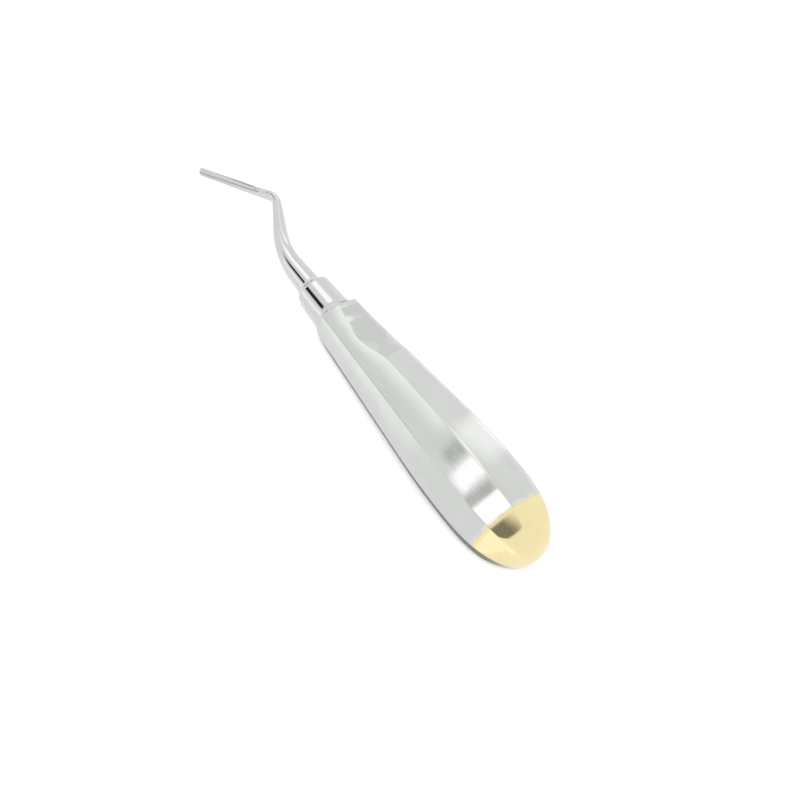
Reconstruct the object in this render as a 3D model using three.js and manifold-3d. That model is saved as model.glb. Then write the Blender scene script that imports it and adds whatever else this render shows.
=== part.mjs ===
// Dental root elevator: a bayonet-bent blade and shank in a neck ferrule, on a hollow
// pear-shaped handle with eight ground flats and a gold-plated butt cap.
//
// Millimetres, +Z up. Every piece is drawn in the handle's own frame, where X runs along
// the handle's axis from its front face (0) to its butt, the blade lies on the -X side and
// Z is up. The whole tool is then tipped nose-down by the handle's cone angle, so that it
// lies on its bottom flat, and centred over the origin.

import * as THREE from "three";
import { mergeVertices } from "three/addons/utils/BufferGeometryUtils.js";
import Module from "manifold-3d";

const wasm = await Module();
wasm.setup();

// ---- Driving dimensions ----

// Handle, outside. An apothem is the distance from the axis to a flat.
const handleLength = 88;
const frontApothem = 7.1;
const coneAngle = THREE.MathUtils.degToRad(5.4);
const coneLength = 44;
const bellyArcRadius = 217;
const buttFullness = 2.4;
const roundingStart = 76;
const roundButtDepth = 0.97;
const roundButtRadius = 0.92;

// The eight flats, from the +Y side counterclockwise as seen from the butt. They are ground by
// hand, so each has its own depth, as a share of the apothem.
const flatDepths = [1, 0.885, 0.99, 1.04, 1, 1, 1, 0.96];
const flatStep = Math.PI / 4;
const upperRightFlat = 1;
const leftFlat = 4;

// Radii of the eight edges: edge k lies between flat k and the next one.
const edgeRadii = [0.9, 1.8, 0.5, 0.5, 0.6, 0.6, 0.6, 0.9];
const edgeSteps = 3;
const leastRadius = 0.2;

// Extra grinding at the neck: a ramp and then a thumb hollow in the upper right flat, a relief
// in the left flat, and a bevel on all of them round the front face.
const rampStart = 1.8;
const creaseAt = 6.8;
const hollowStart = 1;
const hollowEnd = 23.5;
const hollowDepth = 1.55;
const neckReliefLength = 5;
const neckReliefDepth = 1.1;
const frontBevelLength = 1;
const frontBevelDepth = 0.5;

// Handle, inside.
const wall = 1;
const neckBoreRadius = 4.6;
const neckBoreEnd = 22;
const flareEnd = 27;
const capThickness = 2.5;
const capLength = 12.9;

// Clearances: the hairline seams of the shell, and the fit of the parts inside it.
const seam = 0.2;
const fit = 0.3;

// Far enough out to be clear of the whole handle on every side.
const clearOfHandle = 40;

// Ferrule, tang and the parts that hold them.
const ferruleLength = 10.9;
const ferruleFrontRadius = 5;
const ferruleRearRadius = 5.45;
const ferruleShoulder = 0.9;
const spigotEnd = 5.8;
const tangRadius = 2.6;
const tangEnd = 19.5;
const socketEnd = 21.6;
const pinAt = 14;
const pinRadius = 0.8;

// Shank and blade: the straight run out of the ferrule, the offset run and the blade, each
// with its length, its turn to the side (yaw) and its rise (pitch).
const straightRun = 25;
const offsetRun = { length: 16.5, yaw: 31.7, pitch: 4.9 };
const bladeRun = { length: 25, yaw: -28.4, pitch: -3.6 };
const shankRootRadius = 3.25;
const radiusBeforeBend = 2.9;
const radiusAfterBend = 1.85;
const upperBendRadius = 1.25;
const lowerBendReach = 6.5;
const upperBendReach = 1.9;
const bladeRoll = THREE.MathUtils.degToRad(14);
const bladeWidthAtBend = 1.75;
const bladeWidthAtTip = 2.15;
const bladeDepthAtBend = 1.3;
const bladeDepthAtTip = 1;
const grooveShare = 0.5;
const grooveFullAt = 7.5;
const tipBevel = 1.6;
const tipBevelDepth = 0.35;
const tipSlant = -0.35;

// Facets round a turned part and round the shank.
const turnedSides = 40;
const shankSides = 24;

// ---- Materials ----

const satinSteel = new THREE.MeshStandardMaterial({ color: 0xc4c6c3, roughness: 0.34, metalness: 1 });
const polishedSteel = new THREE.MeshStandardMaterial({ color: 0xd2d4d2, roughness: 0.12, metalness: 1 });
const goldPlate = new THREE.MeshStandardMaterial({ color: 0xe6cf8a, roughness: 0.2, metalness: 1 });
const plainSteel = new THREE.MeshStandardMaterial({ color: 0x9a9c9b, roughness: 0.5, metalness: 1 });

// ---- Helpers ----

function mix(from, to, share) {
  return from + (to - from) * share;
}

// `count` steps from one value to another, leaving the last value out.
function steps(from, to, count) {
  return Array.from({ length: count }, (_, i) => mix(from, to, i / count));
}

// A closed body through rings of equally many points. Each end closes on a centre point.
function loft(rings, startCentre, endCentre) {
  const sides = rings[0].length;
  const points = [...rings.flat(), startCentre, endCentre];
  const startIndex = points.length - 2;
  const endIndex = points.length - 1;
  const lastRing = (rings.length - 1) * sides;
  const faces = [];
  for (let i = 0; i < sides; i += 1) {
    const next = (i + 1) % sides;
    faces.push(startIndex, next, i);
    faces.push(endIndex, lastRing + i, lastRing + next);
    for (let ring = 0; ring < lastRing; ring += sides) {
      faces.push(ring + i, ring + next, ring + sides + next);
      faces.push(ring + i, ring + sides + next, ring + sides + i);
    }
  }
  const geometry = new THREE.BufferGeometry().setFromPoints(points);
  geometry.setIndex(faces);
  return geometry;
}

// A body turned about the X axis from [x, radius] points.
function turned(profile) {
  const points = profile.map(([x, radius]) => new THREE.Vector2(radius, x));
  return new THREE.LatheGeometry(points, turnedSides).rotateZ(-Math.PI / 2);
}

function block(x0, x1, z0, z1) {
  const box = new THREE.BoxGeometry(x1 - x0, 2 * clearOfHandle, z1 - z0);
  return box.translate((x0 + x1) / 2, 0, (z0 + z1) / 2);
}

function solid(geometry) {
  const bare = geometry.clone();
  bare.deleteAttribute("normal");
  bare.deleteAttribute("uv");
  const merged = mergeVertices(bare);
  return new wasm.Manifold(new wasm.Mesh({
    numProp: 3,
    vertProperties: new Float32Array(merged.attributes.position.array),
    triVerts: new Uint32Array(merged.index.array),
  }));
}

function geometryOf(manifold) {
  const mesh = manifold.getMesh();
  const geometry = new THREE.BufferGeometry();
  geometry.setAttribute("position", new THREE.BufferAttribute(mesh.vertProperties, 3));
  geometry.setIndex(new THREE.BufferAttribute(mesh.triVerts, 1));
  return geometry;
}

// ---- Handle surface ----

const coneEndApothem = frontApothem + coneLength * Math.tan(coneAngle);
const bellyAt = coneLength + bellyArcRadius * Math.sin(coneAngle);
const bellyApothem = coneEndApothem + bellyArcRadius * (1 - Math.cos(coneAngle));
const capStart = handleLength - capLength;

// Straight cone, then a shallow arc up to the belly, then a blunt superellipse to the butt.
function apothem(x) {
  if (x <= coneLength) {
    return frontApothem + x * Math.tan(coneAngle);
  }
  if (x <= bellyAt) {
    return bellyApothem - bellyArcRadius + Math.sqrt(bellyArcRadius ** 2 - (bellyAt - x) ** 2);
  }
  const share = (x - bellyAt) / (handleLength - bellyAt);
  return bellyApothem * (1 - share ** buttFullness) ** (1 / buttFullness);
}

function thumbHollow(x) {
  const share = (x - hollowStart) / (hollowEnd - hollowStart);
  return hollowDepth * Math.sin(Math.PI * share) ** 2;
}

// A ramp from near the front face that levels out, a crease, and then the thumb hollow.
function thumbGrind(x) {
  if (x < creaseAt) {
    const share = Math.max(0, (x - rampStart) / (creaseAt - rampStart));
    return share * (2 - share) * thumbHollow(creaseAt);
  }
  return x < hollowEnd ? thumbHollow(x) : 0;
}

function neckRelief(x) {
  return x < neckReliefLength ? neckReliefDepth * (1 - x / neckReliefLength) ** 2 : 0;
}

// 0 where the section is a full octagon, 1 where it has become round at the butt.
function roundness(x) {
  return THREE.MathUtils.smoothstep(x, roundingStart, handleLength);
}

function frontBevel(x) {
  return x < frontBevelLength ? frontBevelDepth * (1 - x / frontBevelLength) : 0;
}

function flatDistance(flat, x) {
  const depth = mix(flatDepths[flat], roundButtDepth, roundness(x)) * apothem(x) - frontBevel(x);
  if (flat === upperRightFlat) {
    return depth - thumbGrind(x);
  }
  return flat === leftFlat ? depth - neckRelief(x) : depth;
}

// The handle's outline at x, moved in by `inset`: eight flats joined by arcs.
function handleSection(x, inset = 0) {
  const ring = [];
  const count = flatDepths.length;
  for (let flat = 0; flat < count; flat += 1) {
    const roundRadius = roundButtRadius * apothem(x);
    const outerRadius = mix(edgeRadii[flat], roundRadius, roundness(x));
    const radius = Math.max(outerRadius - inset, leastRadius);
    const near = flatDistance(flat, x) - inset - radius;
    const far = flatDistance((flat + 1) % count, x) - inset - radius;
    const along = (far - near * Math.cos(flatStep)) / Math.sin(flatStep);
    const angle = flat * flatStep;
    const centreY = near * Math.cos(angle) - along * Math.sin(angle);
    const centreZ = near * Math.sin(angle) + along * Math.cos(angle);
    for (let step = 0; step <= edgeSteps; step += 1) {
      const turn = angle + flatStep * step / edgeSteps;
      ring.push(new THREE.Vector3(x, centreY + radius * Math.cos(turn), centreZ + radius * Math.sin(turn)));
    }
  }
  return ring;
}

// Stations along the butt, closer together towards its end.
function buttStations(end, count) {
  const lastTurn = Math.asin((end - bellyAt) / (handleLength - bellyAt));
  const turns = [...steps(0, lastTurn, count), lastTurn];
  return turns.map((turn) => bellyAt + (handleLength - bellyAt) * Math.sin(turn));
}

function onAxis(x) {
  return new THREE.Vector3(x, 0, 0);
}

const neckStations = [...steps(0, neckReliefLength, 5), neckReliefLength];
const hollowStations = [
  mix(neckReliefLength, creaseAt, 0.5),
  ...steps(creaseAt, hollowEnd, 12),
  hollowEnd,
];

// The upper side needs stations along the thumb hollow; the lower side runs straight there.
function handleBody(hollow) {
  const closingStep = 0.02;
  const stations = [
    ...neckStations,
    ...hollow,
    ...steps(coneLength, bellyAt, 3),
    ...buttStations(handleLength - closingStep, 13),
  ];
  const sections = stations.map((x) => handleSection(x));
  return solid(loft(sections, onAxis(0), onAxis(handleLength)));
}

// ---- Handle cavity: a round bore at the neck, flaring into a hollow that follows the flats ----

// Distance from the axis to the nearest wall of the hollow.
function cavityRadius(x) {
  return Math.min(...flatDepths) * apothem(x) - wall;
}

function handleCavity() {
  const flareInset = cavityRadius(neckBoreEnd) + wall - neckBoreRadius;
  const cavityEnd = handleLength - capThickness;
  const stations = [
    ...steps(flareEnd, coneLength, 2),
    ...steps(coneLength, bellyAt, 3),
    ...buttStations(cavityEnd, 6),
  ];
  const flare = handleSection(neckBoreEnd, flareInset);
  const sections = [flare, ...stations.map((x) => handleSection(x, wall))];
  const hollow = solid(loft(sections, onAxis(neckBoreEnd), onAxis(cavityEnd)));
  const beforeFront = -1;
  const overlap = 1;
  const bore = turned([
    [beforeFront, 0],
    [beforeFront, neckBoreRadius],
    [neckBoreEnd + overlap, neckBoreRadius],
    [neckBoreEnd + overlap, 0],
  ]);
  return hollow.add(solid(bore));
}

const cavity = handleCavity();
const upperWall = handleBody(hollowStations).subtract(cavity);
const lowerWall = handleBody([]).subtract(cavity);

function upperShell() {
  const above = block(-clearOfHandle, capStart - seam / 2, seam / 2, clearOfHandle);
  return geometryOf(upperWall.intersect(solid(above)));
}

function lowerShell() {
  const below = block(-clearOfHandle, capStart - seam / 2, -clearOfHandle, -seam / 2);
  return geometryOf(lowerWall.intersect(solid(below)));
}

function buttCap() {
  const behindButt = handleLength + clearOfHandle;
  const rear = block(capStart + seam / 2, behindButt, -clearOfHandle, clearOfHandle);
  return geometryOf(upperWall.intersect(solid(rear)));
}

// A tapered ring inside the joint of the shells and the cap.
function capJointRing() {
  const halfLength = 3.5;
  const thickness = 1.5;
  const outside = steps(capStart - halfLength, capStart + halfLength, 5);
  outside.push(capStart + halfLength);
  const outer = outside.map((x) => [x, cavityRadius(x) - fit]);
  const inner = outer.map(([x, radius]) => [x, radius - thickness]).reverse();
  return turned([...outer, ...inner, outer[0]]);
}

// ---- Ferrule, socket and pin ----

function neckFerrule() {
  const bore = tangRadius + fit;
  const spigot = neckBoreRadius - fit;
  const shoulder = [90, 60, 30, 0].map(THREE.MathUtils.degToRad).map((turn) => [
    -ferruleLength + ferruleShoulder * (1 - Math.cos(Math.PI / 2 - turn)),
    ferruleFrontRadius - ferruleShoulder * (1 - Math.sin(Math.PI / 2 - turn)),
  ]);
  const front = [-ferruleLength, bore];
  return turned([
    front,
    ...shoulder,
    [-fit, ferruleRearRadius],
    [-fit, spigot],
    [spigotEnd, spigot],
    [spigotEnd, bore],
    front,
  ]);
}

function pinHole() {
  const length = 4 * neckBoreRadius;
  const radius = pinRadius + fit;
  return solid(new THREE.CylinderGeometry(radius, radius, length, shankSides).translate(pinAt, 0, 0));
}

function tangSocket() {
  const bore = tangRadius + fit;
  const outside = neckBoreRadius - fit;
  const front = [spigotEnd + fit, bore];
  const sleeve = turned([
    front,
    [spigotEnd + fit, outside],
    [socketEnd, outside],
    [socketEnd, bore],
    front,
  ]);
  return geometryOf(solid(sleeve).subtract(pinHole()));
}

function tangPin() {
  const halfLength = neckBoreRadius - 2 * fit;
  const bevel = 0.25;
  const profile = [
    [0, -halfLength],
    [pinRadius - bevel, -halfLength],
    [pinRadius, -halfLength + bevel],
    [pinRadius, halfLength - bevel],
    [pinRadius - bevel, halfLength],
    [0, halfLength],
  ];
  const points = profile.map(([radius, y]) => new THREE.Vector2(radius, y));
  return new THREE.LatheGeometry(points, shankSides).translate(pinAt, 0, 0);
}

// ---- Blade and shank, one forging from the tang's end to the blade's tip ----

function heading(run) {
  const yaw = THREE.MathUtils.degToRad(run.yaw);
  const pitch = THREE.MathUtils.degToRad(run.pitch);
  return new THREE.Vector3(
    -Math.cos(pitch) * Math.cos(yaw),
    Math.cos(pitch) * Math.sin(yaw),
    Math.sin(pitch),
  );
}

const forward = new THREE.Vector3(-1, 0, 0);
const lowerBend = new THREE.Vector3(-straightRun, 0, 0);
const upperBend = lowerBend.clone().addScaledVector(heading(offsetRun), offsetRun.length);
const bladeTip = upperBend.clone().addScaledVector(heading(bladeRun), bladeRun.length);

function along(origin, direction, distance) {
  return origin.clone().addScaledVector(direction, distance);
}

// A ring square to the way the shank runs. `half` is its half width, `crown` its height above
// the middle and `keel` its depth below it; a negative crown makes the blade's groove.
function shankRing(centre, direction, half, crown, keel, roll = 0, slant = 0) {
  const side = new THREE.Vector3(0, 0, 1).cross(direction).normalize();
  const up = direction.clone().cross(side);
  side.applyAxisAngle(direction, roll);
  up.applyAxisAngle(direction, roll);
  const ring = [];
  for (let i = 0; i < shankSides; i += 1) {
    const turn = 2 * Math.PI * i / shankSides;
    const sideways = half * Math.cos(turn);
    const height = Math.sin(turn) > 0 ? crown * Math.sin(turn) : keel * Math.sin(turn);
    const point = centre.clone().addScaledVector(side, sideways).addScaledVector(up, height);
    ring.push(point.addScaledVector(direction, slant * sideways));
  }
  return ring;
}

function roundRing(centre, direction, radius) {
  return shankRing(centre, direction, radius, radius, radius);
}

// Rings round a bend: a quadratic curve between the two straight runs.
function bendRings(corner, arriving, leaving, reach, count, ringAt) {
  const start = along(corner, arriving, -reach);
  const curve = new THREE.QuadraticBezierCurve3(start, corner, along(corner, leaving, reach));
  return steps(0, 1, count).map((share) => ringAt(curve.getPoint(share), curve.getTangent(share), share));
}

function bladeAndShank() {
  const offsetWay = heading(offsetRun);
  const bladeWay = heading(bladeRun);
  const shankRoot = -ferruleLength - fit;
  const edgeBreak = 0.4;
  const shoulderStep = 0.05;
  const rings = [];

  // Tang, with a broken edge at its end, and the shank's shoulder in front of the ferrule.
  for (const [x, radius] of [
    [tangEnd, tangRadius - edgeBreak],
    [tangEnd - edgeBreak, tangRadius],
    [shankRoot, tangRadius],
    [shankRoot - shoulderStep, shankRootRadius - edgeBreak],
    [shankRoot - edgeBreak, shankRootRadius],
  ]) {
    rings.push(roundRing(onAxis(x), forward, radius));
  }

  // The straight run tapers into the lower bend, and the offset run into the upper bend.
  rings.push(...bendRings(lowerBend, forward, offsetWay, lowerBendReach, 10, (centre, direction, share) =>
    roundRing(centre, direction, mix(radiusBeforeBend, radiusAfterBend, share))));
  const offsetEnd = offsetRun.length - upperBendReach;
  for (const share of [0, 0.5]) {
    const centre = along(lowerBend, offsetWay, mix(lowerBendReach, offsetEnd, share));
    rings.push(roundRing(centre, offsetWay, mix(radiusAfterBend, upperBendRadius, share)));
  }

  // Round the upper bend the section turns from a round into the blade's trough.
  const troughRing = (centre, direction, width, depth, groove, roll) => {
    const crown = mix(upperBendRadius, -depth * grooveShare, groove);
    return shankRing(centre, direction, width / 2, crown, depth, roll);
  };
  rings.push(...bendRings(upperBend, offsetWay, bladeWay, upperBendReach, 8, (centre, direction, share) =>
    troughRing(
      centre,
      direction,
      mix(2 * upperBendRadius, bladeWidthAtBend, share),
      upperBendRadius,
      0,
      bladeRoll * share,
    )));
  const bladeLength = bladeRun.length;
  const bevelStart = bladeLength - tipBevel;
  const bladeStations = [
    ...steps(upperBendReach, grooveFullAt, 4),
    ...steps(grooveFullAt, bevelStart, 2),
    bevelStart,
  ];
  for (const distance of bladeStations) {
    const share = distance / bladeLength;
    const width = mix(bladeWidthAtBend, bladeWidthAtTip, share);
    const depth = mix(bladeDepthAtBend, bladeDepthAtTip, share);
    const groove = THREE.MathUtils.smoothstep(distance, upperBendReach, grooveFullAt);
    const centre = along(upperBend, bladeWay, distance);
    rings.push(troughRing(centre, bladeWay, width, depth, groove, bladeRoll));
  }

  // The back is bevelled to the cutting edge, and the end is cut a little off square.
  const edgeKeel = mix(bladeDepthAtTip * grooveShare, bladeDepthAtTip, tipBevelDepth);
  rings.push(shankRing(
    bladeTip,
    bladeWay,
    bladeWidthAtTip / 2,
    -bladeDepthAtTip * grooveShare,
    edgeKeel,
    bladeRoll,
    tipSlant,
  ));
  const tipCentre = rings.at(-1).reduce((sum, point) => sum.add(point), new THREE.Vector3());
  tipCentre.divideScalar(shankSides);
  return geometryOf(solid(loft(rings, onAxis(tangEnd), tipCentre)).subtract(pinHole()));
}

// ---- Assembly ----

const tool = new THREE.Group();

function add(name, geometry, material) {
  const mesh = new THREE.Mesh(geometry, material);
  mesh.name = name;
  tool.add(mesh);
}

add("blade_and_shank", bladeAndShank(), polishedSteel);
add("neck_ferrule", neckFerrule(), polishedSteel);
add("tang_socket", tangSocket(), plainSteel);
add("tang_pin", tangPin(), plainSteel);
add("handle_shell_upper", upperShell(), satinSteel);
add("handle_shell_lower", lowerShell(), satinSteel);
add("cap_joint_ring", capJointRing(), plainSteel);
add("butt_cap", buttCap(), goldPlate);

// Tip the tool onto its bottom flat, then bring its footprint's centre over the origin.
tool.rotation.y = -coneAngle;
const extent = new THREE.Box3().setFromObject(tool, true);
const middle = extent.getCenter(new THREE.Vector3());
tool.position.set(-middle.x, -middle.y, -extent.min.z);

const elevator = new THREE.Group();
elevator.add(tool);

export default elevator;
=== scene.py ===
"""Looks of a dental root elevator: fine visible skins and materials around its CAD frame.

The handle's two shells, the gold cap, the ferrule and the forged blade and shank are drawn again
here from the CAD's driving dimensions, with finer edges and seams. Their lengths are millimetres in
the handle's own frame, where X runs along the handle's axis from its front face (0) to its butt,
the blade lies on the -X side and Z is up. `to_row` carries them to the row frame, in metres.
"""

import math

import bpy
from mathutils import Matrix, Quaternion, Vector


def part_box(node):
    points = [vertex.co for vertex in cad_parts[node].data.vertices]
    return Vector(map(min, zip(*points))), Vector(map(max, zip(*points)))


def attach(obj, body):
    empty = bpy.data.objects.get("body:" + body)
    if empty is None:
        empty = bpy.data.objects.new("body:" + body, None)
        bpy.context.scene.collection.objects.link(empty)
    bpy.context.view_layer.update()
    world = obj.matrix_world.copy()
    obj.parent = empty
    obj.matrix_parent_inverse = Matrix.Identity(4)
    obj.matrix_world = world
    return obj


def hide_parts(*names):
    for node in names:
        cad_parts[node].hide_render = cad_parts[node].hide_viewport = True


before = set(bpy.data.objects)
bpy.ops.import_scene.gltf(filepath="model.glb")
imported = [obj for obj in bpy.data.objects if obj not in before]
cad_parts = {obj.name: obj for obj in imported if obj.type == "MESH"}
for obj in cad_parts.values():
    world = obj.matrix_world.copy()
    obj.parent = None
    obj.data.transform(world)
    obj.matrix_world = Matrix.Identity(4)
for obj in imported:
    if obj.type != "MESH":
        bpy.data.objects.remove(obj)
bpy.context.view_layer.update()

# ---- Driving dimensions, as in the CAD ----

HANDLE_LENGTH = 88
FRONT_APOTHEM = 7.1
CONE_ANGLE = math.radians(5.4)
CONE_LENGTH = 44
BELLY_ARC_RADIUS = 217
BUTT_FULLNESS = 2.4
ROUNDING_START = 76
ROUND_BUTT_DEPTH = 0.97
ROUND_BUTT_RADIUS = 0.92
CAP_START = 75.1

# Flats from the +Y side counterclockwise, seen from the butt, as shares of the apothem.
FLAT_DEPTHS = [1, 0.885, 0.99, 1.04, 1, 1, 1, 0.96]
FLATS = len(FLAT_DEPTHS)
FLAT_STEP = 2 * math.pi / FLATS
RIGHT_FLAT = 0
UPPER_RIGHT_FLAT = 1
LEFT_FLAT = 4
LEAST_RADIUS = 0.2

RAMP_START = 1.8
CREASE_AT = 6.8
HOLLOW_START = 1
HOLLOW_END = 23.5
HOLLOW_DEPTH = 1.55
NECK_RELIEF_LENGTH = 5
NECK_RELIEF_DEPTH = 1.1
FRONT_BEVEL_DEPTH = 0.5

WALL = 1
NECK_BORE_RADIUS = 4.6
NECK_BORE_END = 22
FLARE_END = 27
CAP_THICKNESS = 2.5
FIT = 0.3

FERRULE_LENGTH = 10.9
FERRULE_FRONT_RADIUS = 5
FERRULE_REAR_RADIUS = 5.45
SPIGOT_END = 5.8
TANG_RADIUS = 2.6
TANG_END = 19.5
SOCKET_END = 21.6

STRAIGHT_RUN = 25
OFFSET_RUN = {"length": 16.5, "yaw": 31.7, "pitch": 4.9}
BLADE_RUN = {"length": 25, "yaw": -28.4, "pitch": -3.6}
SHANK_ROOT_RADIUS = 3.25
RADIUS_BEFORE_BEND = 2.9
RADIUS_AFTER_BEND = 1.85
UPPER_BEND_RADIUS = 1.25
LOWER_BEND_REACH = 6.5
UPPER_BEND_REACH = 1.9
BLADE_ROLL = math.radians(14)
BLADE_WIDTH_AT_BEND = 1.75
BLADE_WIDTH_AT_TIP = 2.15
BLADE_DEPTH_AT_BEND = 1.3
BLADE_DEPTH_AT_TIP = 1
GROOVE_SHARE = 0.5
GROOVE_FULL_AT = 7.5
TIP_BEVEL = 1.6
TIP_BEVEL_DEPTH = 0.35
TIP_SLANT = -0.35

# ---- Dimensions of the skins alone ----

# Edge k lies between flat k and the next one. The upper right one opens out into the soft belly.
EDGE_RADII = [0.9, 0.4, 0.3, 0.5, 0.6, 0.6, 0.6, 0.9]
UPPER_RIGHT_EDGE = 1
BELLY_EDGE_RADIUS = 1.8
BELLY_EDGE_FROM = 38
BELLY_EDGE_FULL = 56

# How far the middle of each flat stands proud: a grinding belt leaves a flat a little round.
FLAT_CROWNS = [0.05, 0.05, 0.1, 0.05, 0.03, 0, 0, 0.03]
FULL_CROWN_WIDTH = 8

CREASE_ROUNDING = 0.5
FRONT_BEVEL_LENGTH = 0.8

# Half the width of the hairline seams between the handle's pieces.
SEAM = 0.012

FERRULE_SHOULDER = 1.1
FERRULE_REAR_EDGE = 0.15
FERRULE_FLARE = 0.25
FERRULE_FLARE_LENGTH = 3
SHANK_EDGE = 0.4
SHOULDER_RISE = 0.01
GROOVE_WIDTH_SHARE = 0.84
TIP_ROUNDING = 0.5
TIP_NARROWING = 0.12

# The cap's outer rings stop just short of its end, and its cavity ends in a blunt point.
CAP_LAST_RING = 0.004
CAVITY_LAST_RING = 1
CAVITY_POINT = 0.6

# ---- Fineness of the skins ----

EDGE_STEPS = 8
FLAT_SPOTS = (0.02, 0.1, 0.25, 0.4, 0.5, 0.6, 0.75, 0.9, 0.98)
TURNED_SIDES = 96
SHANK_SIDES = 56

# ---- Placing the handle's frame in the row frame ----

socket_low, socket_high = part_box("tang_socket")
socket_middle = (SPIGOT_END + FIT + SOCKET_END) / 2
handle_axis = Vector((math.cos(CONE_ANGLE), 0, math.sin(CONE_ANGLE)))
handle_front = (socket_low + socket_high) / 2 - handle_axis * socket_middle / 1000
to_row = (
    Matrix.Translation(handle_front)
    @ Matrix.Rotation(-CONE_ANGLE, 4, "Y")
    @ Matrix.Scale(0.001, 4)
)


# ---- Helpers ----

def mix(start, end, share):
    return start + (end - start) * share


def smooth(value, start, end):
    share = min(max((value - start) / (end - start), 0), 1)
    return share * share * (3 - 2 * share)


def steps(start, end, count):
    """`count` even steps from start towards end, leaving the end out."""
    return [mix(start, end, i / count) for i in range(count)]


def loft_faces(ring_count, sides, joined=False):
    """Quads between rings of `sides` points; `joined` also joins the last ring to the first."""
    faces = []
    for ring in range(ring_count if joined else ring_count - 1):
        here = ring * sides
        there = (ring + 1) % ring_count * sides
        for j in range(sides):
            k = (j + 1) % sides
            faces.append((here + j, here + k, there + k, there + j))
    return faces


def fan(centre, first, sides, outwards):
    """Triangles from a centre point to a ring that starts at index `first`."""
    faces = []
    for j in range(sides):
        pair = (first + j, first + (j + 1) % sides)
        faces.append((centre, *pair) if outwards else (centre, pair[1], pair[0]))
    return faces


def piece(name, points, faces, material, node):
    """A smooth-shaded skin that stands for a CAD node and takes its finish from a slot."""
    mesh = bpy.data.meshes.new(name)
    mesh.from_pydata([to_row @ Vector(point) for point in points], [], faces)
    mesh.validate()
    mesh.polygons.foreach_set("use_smooth", [True] * len(mesh.polygons))
    mesh.set_sharp_from_angle(angle=math.radians(30))
    mesh.materials.append(material)
    skin = bpy.data.objects.new(name, mesh)
    bpy.context.scene.collection.objects.link(skin)
    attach(skin, "root")
    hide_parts(node)
    return skin


# ---- The handle's surface ----

belly_at = CONE_LENGTH + BELLY_ARC_RADIUS * math.sin(CONE_ANGLE)
cone_end_apothem = FRONT_APOTHEM + CONE_LENGTH * math.tan(CONE_ANGLE)
belly_apothem = cone_end_apothem + BELLY_ARC_RADIUS * (1 - math.cos(CONE_ANGLE))


def apothem(x):
    """Straight cone, then a shallow arc up to the belly, then a blunt superellipse to the butt."""
    if x <= CONE_LENGTH:
        return FRONT_APOTHEM + x * math.tan(CONE_ANGLE)
    if x <= belly_at:
        rise = math.sqrt(BELLY_ARC_RADIUS**2 - (belly_at - x) ** 2)
        return belly_apothem - BELLY_ARC_RADIUS + rise
    share = min((x - belly_at) / (HANDLE_LENGTH - belly_at), 1)
    return belly_apothem * (1 - share**BUTT_FULLNESS) ** (1 / BUTT_FULLNESS)


def thumb_hollow(x):
    share = (x - HOLLOW_START) / (HOLLOW_END - HOLLOW_START)
    return HOLLOW_DEPTH * math.sin(math.pi * share) ** 2


def thumb_grind(x):
    """A ramp from near the front face that levels out, a crease, and then the thumb hollow."""
    if x < CREASE_AT:
        share = max((x - RAMP_START) / (CREASE_AT - RAMP_START), 0)
        return share * (2 - share) * thumb_hollow(CREASE_AT)
    return thumb_hollow(x) if x < HOLLOW_END else 0


def neck_relief(x):
    return NECK_RELIEF_DEPTH * max(1 - x / NECK_RELIEF_LENGTH, 0) ** 2


def front_bevel(x):
    """A quarter round on the front face's rim."""
    share = max(1 - x / FRONT_BEVEL_LENGTH, 0)
    return FRONT_BEVEL_DEPTH * (1 - math.sqrt(1 - share**2))


def roundness(x):
    """0 where the section is a full octagon, 1 where it has become round at the butt."""
    return smooth(x, ROUNDING_START, HANDLE_LENGTH)


def flat_distance(flat, x):
    depth = mix(FLAT_DEPTHS[flat], ROUND_BUTT_DEPTH, roundness(x)) * apothem(x) - front_bevel(x)
    if flat == UPPER_RIGHT_FLAT:
        return depth - thumb_grind(x)
    return depth - neck_relief(x) if flat == LEFT_FLAT else depth


def edge_arc(edge, x, inset=0):
    """The (y, z) points of the rounded edge between a flat and the next one."""
    edge %= FLATS
    radius = EDGE_RADII[edge]
    if edge == UPPER_RIGHT_EDGE:
        radius = mix(radius, BELLY_EDGE_RADIUS, smooth(x, BELLY_EDGE_FROM, BELLY_EDGE_FULL))
    round_radius = ROUND_BUTT_RADIUS * apothem(x)
    radius = min(mix(radius, round_radius, roundness(x)), round_radius) - inset
    radius = max(radius, LEAST_RADIUS * min(apothem(x), 1))
    near = flat_distance(edge, x) - inset - radius
    far = flat_distance((edge + 1) % FLATS, x) - inset - radius
    along = (far - near * math.cos(FLAT_STEP)) / math.sin(FLAT_STEP)
    angle = edge * FLAT_STEP
    centre = Vector((
        near * math.cos(angle) - along * math.sin(angle),
        near * math.sin(angle) + along * math.cos(angle),
    ))
    turns = [angle + FLAT_STEP * step / EDGE_STEPS for step in range(EDGE_STEPS + 1)]
    return [centre + radius * Vector((math.cos(turn), math.sin(turn))) for turn in turns]


def flat_point(flat, start, end, spot):
    """A point across a flat, raised by its crown; `spot` runs from 0 to 1."""
    angle = flat * FLAT_STEP
    width_share = min((end - start).length / FULL_CROWN_WIDTH, 1)
    crown = FLAT_CROWNS[flat % FLATS] * width_share * 4 * spot * (1 - spot)
    return start.lerp(end, spot) + crown * Vector((math.cos(angle), math.sin(angle)))


def whole_outline(x, inset=0):
    """The handle's closed outline at x, moved in by `inset`."""
    arcs = [edge_arc(edge, x, inset) for edge in range(FLATS)]
    outline = []
    for edge, arc in enumerate(arcs):
        following = arcs[(edge + 1) % FLATS]
        outline += arc
        outline += [flat_point(edge + 1, arc[-1], following[0], spot) for spot in FLAT_SPOTS]
    return outline


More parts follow.
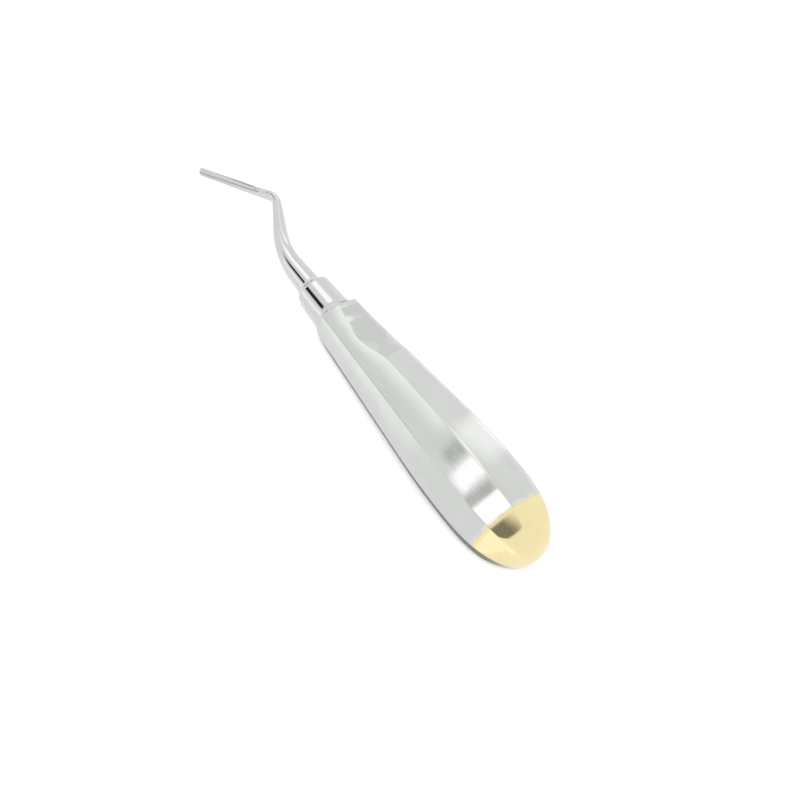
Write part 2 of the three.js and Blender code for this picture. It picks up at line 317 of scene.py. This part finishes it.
def half_outline(x, first_flat, inset=0):
    """Half the outline, from the seam in the first flat round to the seam in the opposite one."""
    arcs = [edge_arc(first_flat + i, x, inset) for i in range(-1, FLATS // 2 + 1)]
    side = 1 if first_flat == RIGHT_FLAT else -1

    def seam_spot(start, end, height):
        return (height - start.y) / (end.y - start.y)

    outline = []
    for i, (start, end) in enumerate(zip(arcs, arcs[1:])):
        flat = first_flat + i
        low, high = 0, 1
        if i == 0:
            low = seam_spot(start[-1], end[0], side * SEAM)
        if i == FLATS // 2:
            high = seam_spot(start[-1], end[0], side * SEAM)
        spots = [mix(low, high, spot) for spot in FLAT_SPOTS]
        if i == 0:
            spots = [low, *spots]
        if i == FLATS // 2:
            spots = [*spots, high]
        outline += [flat_point(flat, start[-1], end[0], spot) for spot in spots]
        if i < FLATS // 2:
            outline += end
    return outline


def half_ring(x, first_flat):
    """A closed ring round half the handle's wall: the outside, and the inside back again."""
    outside = half_outline(x, first_flat)
    hollow = half_outline(max(x, FLARE_END), first_flat, WALL)
    open_share = smooth(x, NECK_BORE_END, FLARE_END)
    inside = [
        (outer.normalized() * NECK_BORE_RADIUS).lerp(inner, open_share)
        for outer, inner in zip(outside, hollow)
    ]
    return [Vector((x, p.x, p.y)) for p in outside + inside[::-1]]


def neck_stations():
    """Closer together round the front rim and along the ramp and the hollow."""
    rim = [FRONT_BEVEL_LENGTH * (1 - math.cos(turn)) for turn in steps(0, math.pi / 2, 8)]
    return [
        *rim,
        *steps(FRONT_BEVEL_LENGTH, CREASE_AT - CREASE_ROUNDING, 14),
        CREASE_AT - CREASE_ROUNDING,
        CREASE_AT,
        *steps(CREASE_AT + CREASE_ROUNDING, HOLLOW_END, 26),
        *steps(HOLLOW_END, CONE_LENGTH, 10),
    ]


def butt_stations(end, count):
    """Stations from the belly, closer together towards the butt's end."""
    reach = HANDLE_LENGTH - belly_at
    last_turn = math.asin((end - belly_at) / reach)
    return [belly_at + reach * math.sin(turn) for turn in [*steps(0, last_turn, count), last_turn]]


def shell(name, first_flat, material, node):
    """One half of the handle's hollow shell, a closed body with its wall's thickness."""
    stations = [
        *neck_stations(),
        *steps(CONE_LENGTH, belly_at, 20),
        *butt_stations(CAP_START - SEAM, 14),
    ]
    rings = [half_ring(x, first_flat) for x in stations]
    sides = len(rings[0])
    faces = loft_faces(len(rings), sides)
    rear = (len(rings) - 1) * sides
    for j in range(sides // 2 - 1):
        back = sides - 1 - j
        faces.append((back, back - 1, j + 1, j))
        faces.append((rear + j, rear + j + 1, rear + back - 1, rear + back))
    points = [point for ring in rings for point in ring]
    return piece(name, points, faces, material, node)


def butt_cap(material):
    """The gold-plated cap: an outer bowl and an inner bowl joined at the rim."""
    rim = CAP_START + SEAM
    stations = [rim, *[x for x in butt_stations(HANDLE_LENGTH - CAP_LAST_RING, 60) if x > rim]]
    cavity_end = HANDLE_LENGTH - CAP_THICKNESS
    inner_stations = [x for x in stations if x < cavity_end - CAVITY_LAST_RING]

    def ring(x, inset):
        return [Vector((x, p.x, p.y)) for p in whole_outline(x, inset)]

    rings = [ring(x, WALL) for x in inner_stations][::-1]
    rings += [ring(x, 0) for x in stations]
    sides = len(rings[0])
    points = [point for each in rings for point in each]
    faces = loft_faces(len(rings), sides)
    points += [Vector((cavity_end - CAVITY_POINT, 0, 0)), Vector((HANDLE_LENGTH, 0, 0))]
    faces += fan(len(points) - 2, 0, sides, False)
    faces += fan(len(points) - 1, (len(rings) - 1) * sides, sides, True)
    return piece("butt_cap_skin", points, faces, material, "butt_cap")


# ---- The ferrule ----

def neck_ferrule(material):
    """A turned ring: a rounded front shoulder, a cone that flares at its end, and a spigot."""
    bore = TANG_RADIUS + FIT
    spigot = NECK_BORE_RADIUS - FIT
    front_face = FERRULE_FRONT_RADIUS - FERRULE_SHOULDER
    profile = [(-FERRULE_LENGTH, bore), (-FERRULE_LENGTH, mix(bore, front_face, 0.5))]
    for turn in steps(0, math.pi / 2, 12):
        profile.append((
            -FERRULE_LENGTH + FERRULE_SHOULDER * (1 - math.cos(turn)),
            FERRULE_FRONT_RADIUS - FERRULE_SHOULDER * (1 - math.sin(turn)),
        ))
    body_end = -FIT - FERRULE_REAR_EDGE
    rim = FERRULE_REAR_RADIUS + FERRULE_FLARE
    for x in steps(-FERRULE_LENGTH + FERRULE_SHOULDER, body_end, 30):
        share = (x + FERRULE_LENGTH - FERRULE_SHOULDER) / (FERRULE_LENGTH - FERRULE_SHOULDER)
        flare = FERRULE_FLARE * max(0, 1 + (x - body_end) / FERRULE_FLARE_LENGTH) ** 2
        profile.append((x, mix(FERRULE_FRONT_RADIUS, FERRULE_REAR_RADIUS, share) + flare))
    for turn in steps(0, math.pi / 2, 5):
        profile.append((
            body_end + FERRULE_REAR_EDGE * math.sin(turn),
            rim - FERRULE_REAR_EDGE * (1 - math.cos(turn)),
        ))
    profile += [(-FIT, mix(rim, spigot, 0.5)), (-FIT, spigot)]
    profile += [(x, spigot) for x in steps(-FIT, SPIGOT_END, 4)[1:]]
    profile += [(SPIGOT_END, spigot), (SPIGOT_END, bore)]
    profile += [(x, bore) for x in steps(SPIGOT_END, -FERRULE_LENGTH, 6)[1:]]
    points = []
    for i in range(TURNED_SIDES):
        turn = 2 * math.pi * i / TURNED_SIDES
        points += [Vector((x, r * math.cos(turn), r * math.sin(turn))) for x, r in profile]
    faces = loft_faces(TURNED_SIDES, len(profile), joined=True)
    faces = [face[::-1] for face in faces]
    return piece("neck_ferrule_skin", points, faces, material, "neck_ferrule")


# ---- Blade and shank ----

FORWARD = Vector((-1, 0, 0))


def heading(run):
    """The way a run points, turned aside by its yaw and raised by its pitch."""
    yaw = math.radians(run["yaw"])
    pitch = math.radians(run["pitch"])
    return Vector((
        -math.cos(pitch) * math.cos(yaw), math.cos(pitch) * math.sin(yaw), math.sin(pitch)
    ))


OFFSET_WAY = heading(OFFSET_RUN)
BLADE_WAY = heading(BLADE_RUN)
LOWER_BEND = FORWARD * STRAIGHT_RUN
UPPER_BEND = LOWER_BEND + OFFSET_WAY * OFFSET_RUN["length"]


def groove_profile(across):
    """1 in the middle of the blade's groove, 0 from its rims out to the blade's edges."""
    return max(1 - (across / GROOVE_WIDTH_SHARE) ** 2, 0)


def shank_ring(centre, direction, half, crown, keel, groove=0, groove_depth=0, roll=0, slant=0):
    """A ring square to the way the shank runs: a round back, and a top that turns from a crown
    into a grooved trough as `groove` goes from 0 to 1."""
    side = Vector((0, 0, 1)).cross(direction).normalized()
    up = direction.cross(side)
    turned = Quaternion(direction, roll)
    side.rotate(turned)
    up.rotate(turned)
    ring = []
    for i in range(SHANK_SIDES):
        turn = 2 * math.pi * i / SHANK_SIDES
        across = math.cos(turn)
        if math.sin(turn) > 0:
            height = mix(crown * math.sin(turn), -groove_depth * groove_profile(across), groove)
        else:
            height = keel * math.sin(turn)
        sideways = half * across
        ring.append(centre + side * sideways + up * height + direction * slant * sideways)
    return ring


def round_ring(centre, direction, radius):
    return shank_ring(centre, direction, radius, radius, radius)


def bend_rings(corner, arriving, leaving, reach, count, ring_at):
    """Rings round a bend: a quadratic curve between the two straight runs."""
    start = corner - arriving * reach
    end = corner + leaving * reach
    rings = []
    for share in steps(0, 1, count):
        first = start.lerp(corner, share)
        second = corner.lerp(end, share)
        rings.append(ring_at(first.lerp(second, share), (second - first).normalized(), share))
    return rings


def tang_and_shoulder():
    """The tang inside the handle, the shank's shoulder and its straight run up to the bend."""
    root = -FERRULE_LENGTH - FIT
    rings = [round_ring(Vector((TANG_END, 0, 0)), FORWARD, TANG_RADIUS - SHANK_EDGE)]
    for x in [*steps(TANG_END - SHANK_EDGE, root, 6), root]:
        rings.append(round_ring(Vector((x, 0, 0)), FORWARD, TANG_RADIUS))
    for turn in [*steps(0, math.pi / 2, 5), math.pi / 2]:
        x = root - SHOULDER_RISE - SHANK_EDGE * (1 - math.cos(turn))
        radius = SHANK_ROOT_RADIUS - SHANK_EDGE * (1 - math.sin(turn))
        rings.append(round_ring(Vector((x, 0, 0)), FORWARD, radius))
    straight_end = -STRAIGHT_RUN + LOWER_BEND_REACH
    start = root - SHOULDER_RISE - SHANK_EDGE
    for x in steps(start, straight_end, 8)[1:]:
        share = (x - start) / (straight_end - start)
        radius = mix(SHANK_ROOT_RADIUS, RADIUS_BEFORE_BEND, share)
        rings.append(round_ring(Vector((x, 0, 0)), FORWARD, radius))
    return rings


def blade_rings():
    """The grooved blade, with a bevelled, slanted and slightly rounded tip."""
    length = BLADE_RUN["length"]
    bevel_start = length - TIP_BEVEL
    rounding_start = length - TIP_ROUNDING
    stations = [
        *steps(UPPER_BEND_REACH, GROOVE_FULL_AT, 14),
        *steps(GROOVE_FULL_AT, bevel_start, 16),
        *steps(bevel_start, rounding_start, 6),
        *[mix(rounding_start, length, math.sin(turn)) for turn in steps(0, math.pi / 2, 6)],
        length,
    ]
    rings = []
    for distance in stations:
        share = distance / length
        width = mix(BLADE_WIDTH_AT_BEND, BLADE_WIDTH_AT_TIP, share)
        depth = mix(BLADE_DEPTH_AT_BEND, BLADE_DEPTH_AT_TIP, share)
        groove = smooth(distance, UPPER_BEND_REACH, GROOVE_FULL_AT)
        bevel = max((distance - bevel_start) / TIP_BEVEL, 0)
        keel = mix(depth, mix(depth * GROOVE_SHARE, depth, TIP_BEVEL_DEPTH), bevel)
        rounding = min(max((distance - rounding_start) / TIP_ROUNDING, 0), 1)
        half = width / 2 * (1 - TIP_NARROWING * (1 - math.sqrt(1 - rounding**2)))
        rings.append(shank_ring(
            UPPER_BEND + BLADE_WAY * distance, BLADE_WAY, half, UPPER_BEND_RADIUS, keel,
            groove=groove,
            groove_depth=depth * GROOVE_SHARE,
            roll=BLADE_ROLL,
            slant=TIP_SLANT * smooth(bevel, 0, 1),
        ))
    return rings


def blade_and_shank(material):
    """One body from the tang's end, round the two bends of the bayonet shank, to the tip."""
    rings = tang_and_shoulder()
    rings += bend_rings(
        LOWER_BEND, FORWARD, OFFSET_WAY, LOWER_BEND_REACH, 30,
        lambda centre, way, share: round_ring(
            centre, way, mix(RADIUS_BEFORE_BEND, RADIUS_AFTER_BEND, share)
        ),
    )
    offset_end = OFFSET_RUN["length"] - UPPER_BEND_REACH
    for share in steps(0, 1, 12):
        centre = LOWER_BEND + OFFSET_WAY * mix(LOWER_BEND_REACH, offset_end, share)
        radius = mix(RADIUS_AFTER_BEND, UPPER_BEND_RADIUS, share)
        rings.append(round_ring(centre, OFFSET_WAY, radius))
    rings += bend_rings(
        UPPER_BEND, OFFSET_WAY, BLADE_WAY, UPPER_BEND_REACH, 20,
        lambda centre, way, share: shank_ring(
            centre, way, mix(UPPER_BEND_RADIUS, BLADE_WIDTH_AT_BEND / 2, share),
            UPPER_BEND_RADIUS, UPPER_BEND_RADIUS, roll=BLADE_ROLL * share,
        ),
    )
    rings += blade_rings()
    points = [point for ring in rings for point in ring]
    faces = loft_faces(len(rings), SHANK_SIDES)
    last = (len(rings) - 1) * SHANK_SIDES
    tip = sum(rings[-1], Vector()) / SHANK_SIDES
    points += [Vector((TANG_END, 0, 0)), tip]
    faces += fan(len(points) - 2, 0, SHANK_SIDES, False)
    faces += fan(len(points) - 1, last, SHANK_SIDES, True)
    return piece(
        "blade_and_shank_skin", points, faces, material, "blade_and_shank"
    )


# ---- Materials ----

def add(tree, kind, settings=None, **values):
    """A shader node with its settings and its input values."""
    made = tree.nodes.new(kind)
    for key, value in (settings or {}).items():
        setattr(made, key, value)
    for key, value in values.items():
        made.inputs[key.replace("_", " ")].default_value = value
    return made


def noise(tree, place, frequency, detail=3.0):
    """Noise between 0 and 1 that changes `frequency` times a metre along X, Y and Z."""
    stretch = add(tree, "ShaderNodeMapping", Scale=frequency)
    tree.links.new(place.outputs["Object"], stretch.inputs["Vector"])
    made = add(tree, "ShaderNodeTexNoise", Scale=1.0, Detail=detail)
    tree.links.new(stretch.outputs["Vector"], made.inputs["Vector"])
    return made.outputs["Fac"]


def spread(tree, source, low, high, start=0.3, end=0.7):
    """`source` stretched so that its values from start to end run from low to high."""
    made = add(
        tree, "ShaderNodeMapRange", From_Min=start, From_Max=end, To_Min=low, To_Max=high
    )
    tree.links.new(source, made.inputs["Value"])
    return made.outputs["Result"]


def combine(tree, operation, first, second):
    """Two values put together by a maths node."""
    made = add(tree, "ShaderNodeMath", {"operation": operation})
    tree.links.new(first, made.inputs[0])
    tree.links.new(second, made.inputs[1])
    return made.outputs["Value"]


def blend(tree, share, first, second):
    """A colour between two others, each of them a constant or another node's output."""
    made = add(tree, "ShaderNodeMix", {"data_type": "RGBA"})
    tree.links.new(share, made.inputs["Factor"])
    ends = [socket for socket in made.inputs if socket.type == "RGBA"]
    for end, colour in zip(ends, (first, second)):
        if isinstance(colour, tuple):
            end.default_value = (*colour, 1)
        else:
            tree.links.new(colour, end)
    return next(output for output in made.outputs if output.type == "RGBA")


def metal(name, bright, dull, worn_and_highlit, wear_and_highlight_from, roughness, grain, grain_depth, wave_depth):
    """Ground metal: fine grinding lines, a cloudy sheen, smudges, slight waves, and lighter edges
    that are partly wear and partly a painted highlight.

    `bright` and `dull` are the colours that the lines and the clouds drift between, the third colour
    is that of the edges and creases, worn metal and partly a painted highlight, the next value is the
    pointiness at which they start to take it, `roughness` its least and greatest value, `grain` the
    frequency of the lines along X, Y and Z, and the depths are in metres."""
    material = bpy.data.materials.new(name)
    material.use_nodes = True
    tree = material.node_tree
    shader = tree.nodes["Principled BSDF"]
    shader.inputs["Metallic"].default_value = 1
    place = add(tree, "ShaderNodeTexCoord")

    lines = noise(tree, place, grain, 4.0)
    clouds = noise(tree, place, CLOUDS)
    smudges = noise(tree, place, SMUDGES)
    waves = noise(tree, place, WAVES, 1.0)

    line_share = spread(tree, lines, 0, 0.5)
    cloud_share = spread(tree, clouds, 0, 0.5)
    tone = combine(tree, "ADD", line_share, cloud_share)
    surface = add(tree, "ShaderNodeNewGeometry")
    # Sharp edges and the crease turn a lighter colour here: partly wear, partly a painted highlight.
    edges = spread(tree, surface.outputs["Pointiness"], 0, 1, wear_and_highlight_from, wear_and_highlight_from + WEAR_AND_HIGHLIGHT_RANGE)
    rub_and_highlight = combine(tree, "MULTIPLY", edges, spread(tree, smudges, LEAST_WEAR_AND_HIGHLIGHT, 1))
    colour = blend(tree, rub_and_highlight, blend(tree, tone, dull, bright), worn_and_highlit)
    tree.links.new(colour, shader.inputs["Base Color"])

    low, high = roughness
    half = (high - low) / 2
    fine = spread(tree, lines, low / 2, low / 2 + half)
    wide = spread(tree, smudges, low / 2, low / 2 + half)
    tree.links.new(combine(tree, "ADD", fine, wide), shader.inputs["Roughness"])

    fine_relief = spread(tree, lines, 0, grain_depth, 0, 1)
    wide_relief = spread(tree, waves, 0, wave_depth, 0, 1)
    relief = combine(tree, "ADD", fine_relief, wide_relief)
    bump = add(tree, "ShaderNodeBump", Distance=1.0)
    tree.links.new(relief, bump.inputs["Height"])
    tree.links.new(bump.outputs["Normal"], shader.inputs["Normal"])
    return material


# Frequencies along X, Y and Z, per metre.
CLOUDS = (90, 160, 160)
SMUDGES = (260, 420, 420)
WAVES = (110, 170, 170)
LENGTHWAYS = (70, 3200, 3200)
AROUND = (4200, 60, 60)
BUFFED = (500, 2400, 2400)

# The pointiness that the lighter edge colour (partly wear, partly a painted highlight) takes to
# become full, and its share where the smudges leave least.
WEAR_AND_HIGHLIGHT_RANGE = 0.03
LEAST_WEAR_AND_HIGHLIGHT = 0.2

# In each finish below, the edge colour lightens the sharpest edges and the crease: partly wear,
# partly a painted highlight.
satin_steel = metal(
    "satin_steel",
    bright=(0.52, 0.53, 0.515),
    dull=(0.46, 0.475, 0.455),
    worn_and_highlit=(0.6, 0.6, 0.59),
    wear_and_highlight_from=0.505,
    roughness=(0.05, 0.14),
    grain=LENGTHWAYS,
    grain_depth=1.0e-6,
    wave_depth=10.0e-6,
)
polished_steel = metal(
    "polished_steel",
    bright=(0.53, 0.535, 0.525),
    dull=(0.48, 0.485, 0.475),
    worn_and_highlit=(0.6, 0.6, 0.59),
    wear_and_highlight_from=0.51,
    roughness=(0.03, 0.11),
    grain=BUFFED,
    grain_depth=0.3e-6,
    wave_depth=1.5e-6,
)
gold_plate = metal(
    "gold_plate",
    bright=(0.74, 0.645, 0.385),
    dull=(0.67, 0.57, 0.32),
    worn_and_highlit=(0.76, 0.67, 0.42),
    wear_and_highlight_from=0.62,
    roughness=(0.04, 0.14),
    grain=BUFFED,
    grain_depth=0.4e-6,
    wave_depth=2.0e-6,
)
turned_steel = metal(
    "turned_steel",
    bright=(0.5, 0.5, 0.49),
    dull=(0.34, 0.34, 0.33),
    worn_and_highlit=(0.58, 0.58, 0.57),
    wear_and_highlight_from=0.51,
    roughness=(0.25, 0.5),
    grain=AROUND,
    grain_depth=4.0e-6,
    wave_depth=1.0e-6,
)

shell("shell_upper_skin", RIGHT_FLAT, satin_steel, "handle_shell_upper")
shell("shell_lower_skin", LEFT_FLAT, satin_steel, "handle_shell_lower")
butt_cap(gold_plate)
neck_ferrule(polished_steel)
blade_and_shank(polished_steel)
for node in ("tang_socket", "tang_pin", "cap_joint_ring"):
    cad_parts[node].data.materials.clear()
    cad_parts[node].data.materials.append(turned_steel)

# ---- Camera ----

CAMERA_TARGET = Vector((0.0175, -0.0011, 0.01))
CAMERA_DISTANCE = 0.4049
CAMERA_AZIMUTH = math.radians(65.94)
CAMERA_ELEVATION = math.radians(77.68)
CAMERA_ROLL = math.radians(-14.6)
CAMERA_LENS = 67.3

back = Vector((
    math.sin(CAMERA_AZIMUTH) * math.cos(CAMERA_ELEVATION),
    -math.cos(CAMERA_AZIMUTH) * math.cos(CAMERA_ELEVATION),
    math.sin(CAMERA_ELEVATION),
))
camera = bpy.data.objects.new("camera", bpy.data.cameras.new("camera"))
bpy.context.scene.collection.objects.link(camera)
camera.data.lens = CAMERA_LENS
camera.data.clip_start = 0.01
camera.location = CAMERA_TARGET + back * CAMERA_DISTANCE
camera.rotation_mode = "QUATERNION"
camera.rotation_quaternion = (-back).to_track_quat("-Z", "Y") @ Quaternion((0, 0, 1), CAMERA_ROLL)
bpy.context.scene.camera = camera

# ---- Floor and light ----

ROOM_CENTRE = Vector((0, 0, 0))
ROOM_DISTANCE = 1.6
ROOM_STRENGTH = 1.25
FLOOR_SIZE = 8
FLOOR_SHADE = 0.64


def towards(along_x, along_y):
    """A direction given by how many degrees it leans from the zenith along X and along Y."""
    lean = math.hypot(along_x, along_y)
    if lean == 0:
        return Vector((0, 0, 1))
    across = math.sin(math.radians(lean)) / lean
    return Vector((along_x * across, along_y * across, math.cos(math.radians(lean))))


def seen_only_by(thing, diffuse=False, glossy=False, shadow=False):
    """Hide a thing from the camera and from all light paths but the ones named."""
    thing.visible_camera = False
    thing.visible_diffuse = diffuse
    thing.visible_glossy = glossy
    thing.visible_transmission = False
    thing.visible_volume_scatter = False
    thing.visible_shadow = shadow


def panel(name, place, half_x, half_y, strength, softness):
    """A soft-edged sheet of the studio that shows only in the metal's reflections.

    `softness` is the share of each half size over which the sheet fades out."""
    mesh = bpy.data.meshes.new(name)
    corners = [(-half_x, -half_y, 0), (half_x, -half_y, 0), (half_x, half_y, 0), (-half_x, half_y, 0)]
    mesh.from_pydata(corners, [], [(0, 1, 2, 3)])
    sheet = bpy.data.objects.new(name, mesh)
    bpy.context.scene.collection.objects.link(sheet)
    sheet.matrix_world = place
    seen_only_by(sheet, glossy=True)

    material = bpy.data.materials.new(name)
    material.use_nodes = True
    tree = material.node_tree
    tree.nodes.clear()
    position = add(tree, "ShaderNodeTexCoord")
    parts = add(tree, "ShaderNodeSeparateXYZ")
    tree.links.new(position.outputs["Object"], parts.inputs["Vector"])
    fades = []
    for axis, half in (("X", half_x), ("Y", half_y)):
        size = add(tree, "ShaderNodeMath", {"operation": "ABSOLUTE"})
        tree.links.new(parts.outputs[axis], size.inputs[0])
        fade = add(
            tree, "ShaderNodeMapRange", {"interpolation_type": "SMOOTHSTEP"},
            From_Min=half, From_Max=half * (1 - softness),
        )
        tree.links.new(size.outputs["Value"], fade.inputs["Value"])
        fades.append(fade.outputs["Result"])
    glow = add(tree, "ShaderNodeEmission", Strength=strength)
    clear = add(tree, "ShaderNodeBsdfTransparent")
    veil = add(tree, "ShaderNodeMixShader")
    result = add(tree, "ShaderNodeOutputMaterial")
    tree.links.new(combine(tree, "MULTIPLY", *fades), veil.inputs["Fac"])
    tree.links.new(clear.outputs["BSDF"], veil.inputs[1])
    tree.links.new(glow.outputs["Emission"], veil.inputs[2])
    tree.links.new(veil.outputs["Shader"], result.inputs["Surface"])
    mesh.materials.append(material)


def card(name, lean, half_size, strength, softness, centre=ROOM_CENTRE, distance=ROOM_DISTANCE):
    """A panel that hangs round a centre. `lean` and `half_size` are in degrees as seen from there,
    first along X and then along Y."""
    half_x, half_y = (distance * math.tan(math.radians(half)) for half in half_size)
    way = towards(*lean)
    along = Vector((1, 0, 0)) - way * way.x
    along.normalize()
    turn = Matrix((along, way.cross(along), way)).transposed().to_4x4()
    place = Matrix.Translation(centre + way * distance) @ turn
    panel(name, place, half_x, half_y, strength, softness)


# Each row below gives a lean, a half size, a strength and a softness. A panel is a light or a dark
# patch against the room's own ROOM_STRENGTH.

# The room's panels, far away.
card("softbox_key", (-36, 25), (9, 21), 1.9, 0.6)
card("flag_key", (-36, -30), (9, 14), 0.02, 0.6)
card("fill_left", (-12, -80), (42, 17), 1.3, 0.5)
card("fill_neck", (-46, -72), (13, 20), 1.6, 0.5)
card("fill_butt", (45, -72), (32, 20), 1.5, 0.4)
card("flag_camera", (24, -17), (15, 29), 0.28, 0.3)
card("flag_photographer", (3, -54), (15, 12), 0.3, 0.5)

# Panels held close over the belly. The nearer ones cover the others.
belly_side = {"centre": Vector((0.052, 0, 0.02))}
card("softbox_butt", (-3.2, 6), (8, 15), 2.1, 0.2, distance=0.5, **belly_side)
card("softbox_side", (-24.5, 62), (4.5, 30), 1.8, 0.4, distance=0.5, **belly_side)
card("softbox_belly", (-20.6, 14), (2.6, 16), 2.2, 0.25, distance=0.49, **belly_side)
card("flag_neck", (-25.6, 9), (2.2, 8), 0.8, 0.5, distance=0.48, **belly_side)
card("flag_belly", (-13.6, 3), (3.3, 10), 0.85, 0.3, distance=0.47, **belly_side)

# A small panel close over the neck, for the thumb ramp.
neck_side = {"centre": Vector((-0.008, 0, 0.015))}
card("softbox_ramp", (-22, 76), (6, 7), 1.9, 0.5, distance=0.3, **neck_side)


def upright(x, y, z):
    """A place for a panel that stands facing -Y."""
    return Matrix.Translation((x, y, z)) @ Matrix.Rotation(math.pi / 2, 4, "X")


# Cards that stand beside the neck: a grey one for the thumb hollow, a bright one for its crease.
# These rows give a place, two half sizes in metres, a strength and a softness.
panel("flag_hollow", upright(-0.0126, 0.03, 0.0073), 0.0052, 0.0076, 1.18, 0.25)
panel("bounce_crease", upright(-0.0198, 0.0298, 0.0130), 0.003, 0.004, 1.7, 0.5)

# A bounce card that stands behind the belly, with its lower half under the floor.
panel("bounce_card", upright(0.022, 0.075, 0), 0.014, 0.02, 1.7, 0.6)

# Painted shadow: a dark strip lying on the floor beside the handle, seen only in reflections, so the
# undercut left side mirrors a dark contact shadow.
panel("painted_shadow_strip", Matrix.Translation((0.03, -0.01, 0.0002)), 0.05, 0.0095, 0.3, 0.3)

bpy.ops.mesh.primitive_plane_add(size=FLOOR_SIZE)
floor = bpy.context.object
floor.name = "floor"
floor_material = bpy.data.materials.new("floor_white")
floor_material.use_nodes = True
floor_shader = floor_material.node_tree.nodes["Principled BSDF"]
floor_shader.inputs["Base Color"].default_value = (FLOOR_SHADE, FLOOR_SHADE, FLOOR_SHADE, 1)
floor_shader.inputs["Roughness"].default_value = 0.7
floor_shader.inputs["Specular IOR Level"].default_value = 0.1
floor.data.materials.append(floor_material)


def sun(name, lean, spread_angle, strength):
    """A distant lamp that lights the floor and casts the shadow, without showing in the metal."""
    light = bpy.data.lights.new(name, "SUN")
    light.angle = math.radians(spread_angle)
    light.energy = strength
    thing = bpy.data.objects.new(name, light)
    bpy.context.scene.collection.objects.link(thing)
    thing.rotation_mode = "QUATERNION"
    thing.rotation_quaternion = towards(*lean).to_track_quat("Z", "Y")
    seen_only_by(thing, diffuse=True, shadow=True)


sun("key", lean=(6, -1), spread_angle=10, strength=2.5)

world = bpy.data.worlds.new("studio")
world.use_nodes = True
background = world.node_tree.nodes["Background"]
background.inputs["Color"].default_value = (1, 1, 1, 1)
background.inputs["Strength"].default_value = ROOM_STRENGTH
bpy.context.scene.world = world
bpy.context.scene.view_settings.view_transform = "Standard"
